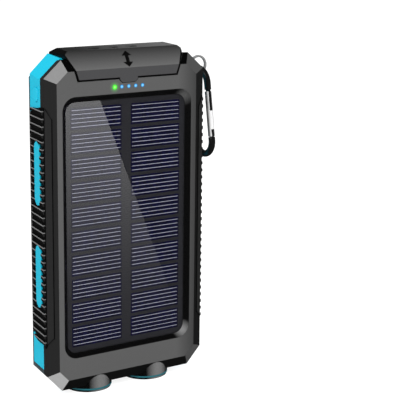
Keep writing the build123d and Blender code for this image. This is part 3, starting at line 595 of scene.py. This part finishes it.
def cell_lines():
    """Thin silver lines on each cell, with the cells' places taken from their node."""
    low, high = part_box("solar_cells")
    pitch = (high[Z] - low[Z] - CELL_TALL) / (CELL_ROWS - 1)
    start, end = CELL_INNER + LINE_MARGIN, high[X] - LINE_MARGIN
    work = bmesh.new()
    for row in range(CELL_ROWS):
        cell_z = high[Z] - CELL_TALL / 2 - row * pitch
        for line in range(LINES):
            z = cell_z + (line - (LINES - 1) / 2) * LINE_PITCH
            for side in (-1, 1):
                add_box(work, (side * (start + end) / 2, low[Y] - LINE_THICK / 2, z),
                        (end - start, LINE_THICK, LINE_TALL))
    silver = moulded("silver ink", colour(192, 194, 212), 0.5, grain=1 * MICRON, Specular_IOR_Level=0.05)
    ride_new("cell_lines", work, silver.material, "case")


def cover_arrow():
    """Double-headed arrow printed on the slope of the port cover, which shows how the cover lifts."""
    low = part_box("port_cover")[0]
    foot = Vector((ARROW_X, low[Y], low[Z] + ARROW_UP))
    slope = Vector((0.0, SLOPE_RUN, SLOPE_RISE)).normalized()
    out = Vector((0.0, -SLOPE_RISE, SLOPE_RUN)).normalized()
    neck, far_neck = ARROW_START + ARROW_HEAD, ARROW_END - ARROW_HEAD
    half = [(0.0, ARROW_START), (HEAD_HALF, neck), (SHAFT_HALF, neck), (SHAFT_HALF, far_neck),
            (HEAD_HALF, far_neck), (0.0, ARROW_END)]
    outline = half + [(-x, along) for x, along in half[-2:0:-1]]
    work = bmesh.new()

    def corner(x, along, lift):
        return work.verts.new(foot + Vector((x, 0, 0)) + slope * along + out * lift)

    sunk, proud = [[corner(x, along, lift) for x, along in outline] for lift in (ARROW_SUNK, ARROW_PROUD)]
    work.faces.new(proud)
    work.faces.new(sunk[::-1])
    for place in range(len(outline)):
        after = (place + 1) % len(outline)
        work.faces.new((sunk[place], sunk[after], proud[after], proud[place]))
    bmesh.ops.recalc_face_normals(work, faces=work.faces)
    ink = moulded("arrow ink", grey(9), 0.5, grain=6 * MICRON)
    ride_new("cover_arrow", work, ink.material, "cover")


def cover_marks():
    """Three small printed marks on the roof of the port cover, each a long bar and a short one."""
    work = bmesh.new()
    for x, wide in MARKS:
        for y, across in ((MARK_Y, wide), (MARK_Y - MARK_STEP, wide * SHORT_BAR)):
            z = ROOF_FRONT_Z + (y - ROOF_FRONT_Y) * ROOF_LEAN
            add_box(work, (x, y, z), (across, BAR_DEEP, BAR_TALL))
    ink = moulded("mark ink", grey(14), 0.5, grain=4 * MICRON)
    ride_new("cover_marks", work, ink.material, "cover")


def soften(names, width, segments=2):
    """Rounds the sharp edges of CAD nodes, inside their own outline."""
    for name in names:
        weld = NODES[name].modifiers.new("weld", "WELD")
        weld.merge_threshold = 2 * MICRON
        bevel = NODES[name].modifiers.new("edges", "BEVEL")
        bevel.width = width
        bevel.segments = segments
        bevel.limit_method = "ANGLE"
        bevel.angle_limit = math.radians(24)
        shade = NODES[name].modifiers.new("shade", "WEIGHTED_NORMAL")
        shade.keep_sharp = True


cell_lines()
cover_arrow()
cover_marks()

soften(["front_cover"], 0.16 * MM)
soften(["port_cover"], 0.65 * MM, 3)
soften(["middle_frame"], 0.25 * MM, 3)
soften(["rear_cover"], 0.3 * MM, 3)
soften(["grip_left", "grip_right"], 0.22 * MM)
soften(["lamp_collar_left", "lamp_collar_right", "lamp_bezel_left", "lamp_bezel_right"], 0.12 * MM)
soften(["side_key"], 0.1 * MM)
soften(["split_ring"], 0.12 * MM)
soften(["carabiner_gate", "carabiner_body"], 0.08 * MM)


# Floor, lights and camera ---------------------------------------------------------------------------------
def floor():
    """A plain pale floor under the object."""
    shader = Shader("floor", Roughness=0.9, Specular_IOR_Level=0.0, Emission_Color=WHITE,
                    Emission_Strength=FLOOR_GLOW)
    shader.set("Base Color", shader.mix(shader.noise(3.0), grey(150), grey(156)))
    work = bmesh.new()
    bmesh.ops.create_grid(work, x_segments=1, y_segments=1, size=FLOOR_HALF)
    plane = new_object("floor", work, shader.material)
    plane.visible_glossy = False
    plane.visible_shadow = False


def glare_card():
    """A bright card, seen only in reflections: the window shows its slanted edge across the cells."""
    window_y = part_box("panel_glass")[0][Y]
    behind = Vector((CAMERA_AT[X], 2 * window_y - CAMERA_AT[Y], CAMERA_AT[Z]))

    def beyond(x, z):
        """The place on the card that the camera sees mirrored at a place on the window."""
        return behind + GLARE_REACH * (Vector((x, window_y, z)) - behind)

    shader = Shader("glare card")
    height = shader.ramp(shader.split()[Z], beyond(0.0, GLARE_FOOT)[Z], beyond(0.0, GLARE_TOP)[Z])
    rise = shader.math("MULTIPLY", shader.math("POWER", height, 2.0), GLARE_RISE)
    glow = shader.node("Emission")
    shader.link(shader.math("ADD", rise, GLARE_POWER), glow.inputs["Strength"])
    shader.link(glow.outputs[0], shader.out.inputs[0])
    work = bmesh.new()
    work.faces.new([work.verts.new(beyond(x, z)) for x, z in GLARE_OUTLINE])
    card = new_object("glare_card", work, shader.material)
    card.visible_camera = False
    card.visible_diffuse = False
    card.visible_shadow = False


def world():
    """White to the camera, softer for the light that it gives, and dim in reflections."""
    background = bpy.data.worlds.new("studio")
    background.use_nodes = True
    tree = background.node_tree
    tree.nodes.clear()
    path = tree.nodes.new("ShaderNodeLightPath")

    def sky(strength):
        node = tree.nodes.new("ShaderNodeBackground")
        node.inputs["Color"].default_value = WHITE
        node.inputs["Strength"].default_value = strength
        return node.outputs[0]

    light = sky(SKY_LIGHT)
    for ray, strength in (("Is Glossy Ray", SKY_GLOSS), ("Is Camera Ray", SKY_SEEN)):
        mix = tree.nodes.new("ShaderNodeMixShader")
        for socket, source in zip(mix.inputs, (path.outputs[ray], light, sky(strength))):
            tree.links.new(source, socket)
        light = mix.outputs[0]
    tree.links.new(light, tree.nodes.new("ShaderNodeOutputWorld").inputs[0])
    bpy.context.scene.world = background


def area_light(name, at, size, power, glossy=True):
    """A soft rectangular light, aimed at the object."""
    data = bpy.data.lights.new(name, "AREA")
    data.shape = "RECTANGLE"
    data.size, data.size_y = size
    data.energy = power
    lamp = bpy.data.objects.new(name, data)
    bpy.context.scene.collection.objects.link(lamp)
    lamp.location = at
    lamp.rotation_euler = (Vector(LIGHT_AIM) - Vector(at)).to_track_quat("-Z", "Y").to_euler()
    lamp.visible_glossy = glossy


def lights():
    """A large key from the upper left, a fill, a top light, and two boxes that also show in reflections."""
    area_light("key", (-0.7, -0.9, 0.9), (0.7, 0.7), 9.0, glossy=False)
    area_light("fill", (0.9, -0.9, 0.5), (0.6, 0.9), 3.6, glossy=False)
    area_light("top", (0.1, 0.3, 1.1), (0.9, 0.6), 5.0, glossy=False)
    area_light("left box", (-1.0, -0.35, 0.75), (0.5, 0.8), 5.0)
    area_light("right box", (1.1, 0.15, 0.35), (0.3, 0.9), 0.3)


def camera():
    """The camera at the photograph's viewing angle."""
    data = bpy.data.cameras.new("camera")
    data.lens = LENS_MM
    data.sensor_width = SENSOR_MM
    data.clip_start, data.clip_end = CLIP_NEAR, CLIP_FAR
    eye = bpy.data.objects.new("camera", data)
    bpy.context.scene.collection.objects.link(eye)
    turn = Matrix.Rotation(math.radians(-CAMERA_HEADING), 4, "Z")
    tilt = Matrix.Rotation(math.radians(90 + CAMERA_TILT), 4, "X")
    roll = Matrix.Rotation(math.radians(CAMERA_ROLL), 4, "Z")
    eye.matrix_world = Matrix.Translation(CAMERA_AT) @ turn @ tilt @ roll
    bpy.context.scene.camera = eye


floor()
glare_card()
world()
lights()
camera()
bpy.context.scene.view_settings.view_transform = "Standard"
